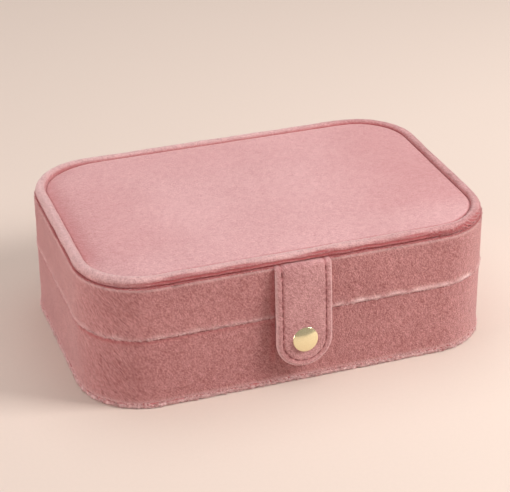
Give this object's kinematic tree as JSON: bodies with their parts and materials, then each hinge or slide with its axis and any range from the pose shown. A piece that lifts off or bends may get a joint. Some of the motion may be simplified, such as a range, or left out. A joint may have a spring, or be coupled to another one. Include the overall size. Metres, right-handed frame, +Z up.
{
  "type": "jewelry box",
  "caption": "Rectangular velvet-covered jewelry box with rounded corners, a padded and piped hinged lid, a snap tab, ring rolls and divided trays.",
  "frame": {"origin": "centre of the case's underside, on the surface it stands on", "axes": "+X to the case's right along its length, +Y to the hinge at the back, +Z up; the snap tab is at the front, -Y"},
  "size_m": [0.165, 0.1155, 0.055],
  "materials": {
    "velvet": "dusty rose velvet, fine short nap",
    "lid_velvet": "dusty rose velvet, brushed smooth and lighter where it catches the light",
    "piping_velvet": "dusty rose velvet wrapped round a cord",
    "lining": "soft suedette lining, pale rose",
    "pouch_cloth": "thin gathered suedette",
    "board": "plain grey board",
    "foam": "soft open foam",
    "snap_metal": "polished pale gold plating",
    "thread": "twisted sewing thread, dark rose"
  },
  "bodies": {
    "base": {"bottom_board": "board", "underside_cover": "velvet", "base_wall_board": "board", "base_cover": "velvet", "base_wall_lining": "lining", "floor_pad": "lining", "ring_bed": "foam", "ring_roll_1": "lining", "ring_roll_2": "lining", "ring_roll_3": "lining", "ring_roll_4": "lining", "ring_roll_5": "lining", "ring_roll_6": "lining", "ring_roll_7": "lining", "ring_partition_left": "lining", "ring_partition_right": "lining", "snap_stud": "snap_metal", "stud_rivet": "snap_metal", "hinge_strip": "velvet", "hinge_lining": "lining"},
    "lid": {"lid_wall_board": "board", "lid_top_board": "board", "lid_cover": "velvet", "lid_wall_lining": "lining", "lid_foam": "foam", "lid_top_cover": "lid_velvet", "lid_piping": "piping_velvet", "lid_panel": "lining", "pouch": "pouch_cloth", "pouch_elastic": "pouch_cloth", "strap_studs": "snap_metal", "strap_anchor_1": "lining", "strap_anchor_2": "lining", "strap_anchor_3": "lining", "tab_sewn_end": "velvet"},
    "tab": {"tab_face": "velvet", "tab_backing": "velvet", "tab_stitching": "thread", "snap_cap": "snap_metal", "snap_socket": "snap_metal"},
    "divider_left": {"divider_left": "lining"},
    "divider_right": {"divider_right": "lining"},
    "necklace_strap_1": {"necklace_strap_1": "lining", "strap_cap_1": "snap_metal"},
    "necklace_strap_2": {"necklace_strap_2": "lining", "strap_cap_2": "snap_metal"},
    "necklace_strap_3": {"necklace_strap_3": "lining", "strap_cap_3": "snap_metal"}
  },
  "joints": [
    {"name": "lid_hinge", "type": "hinge", "parent": "base", "child": "lid", "pos_m": [0, 0.055, 0.0295], "axis": [-1, 0, 0], "range_deg": [0, 105], "deforming": ["hinge_strip", "hinge_lining"]},
    {"name": "tab_swing", "type": "hinge", "parent": "lid", "child": "tab", "pos_m": [-0.001, -0.0574, 0.04843], "axis": [-1, 0, 0], "range_deg": [0, 135]},
    {"name": "divider_left_slide", "type": "slide", "parent": "base", "child": "divider_left", "axis": [0, 1, 0], "range_m": [-0.021, 0.033]},
    {"name": "divider_right_slide", "type": "slide", "parent": "base", "child": "divider_right", "axis": [0, 1, 0], "range_m": [-0.039, 0.015]},
    {"name": "necklace_strap_1_swing", "type": "hinge", "parent": "lid", "child": "necklace_strap_1", "pos_m": [-0.044, -0.04025, 0.04415], "axis": [-1, 0, 0], "range_deg": [0, 90]},
    {"name": "necklace_strap_2_swing", "type": "hinge", "parent": "lid", "child": "necklace_strap_2", "pos_m": [0, -0.04025, 0.04415], "axis": [-1, 0, 0], "range_deg": [0, 90]},
    {"name": "necklace_strap_3_swing", "type": "hinge", "parent": "lid", "child": "necklace_strap_3", "pos_m": [0.044, -0.04025, 0.04415], "axis": [-1, 0, 0], "range_deg": [0, 90]}
  ]
}
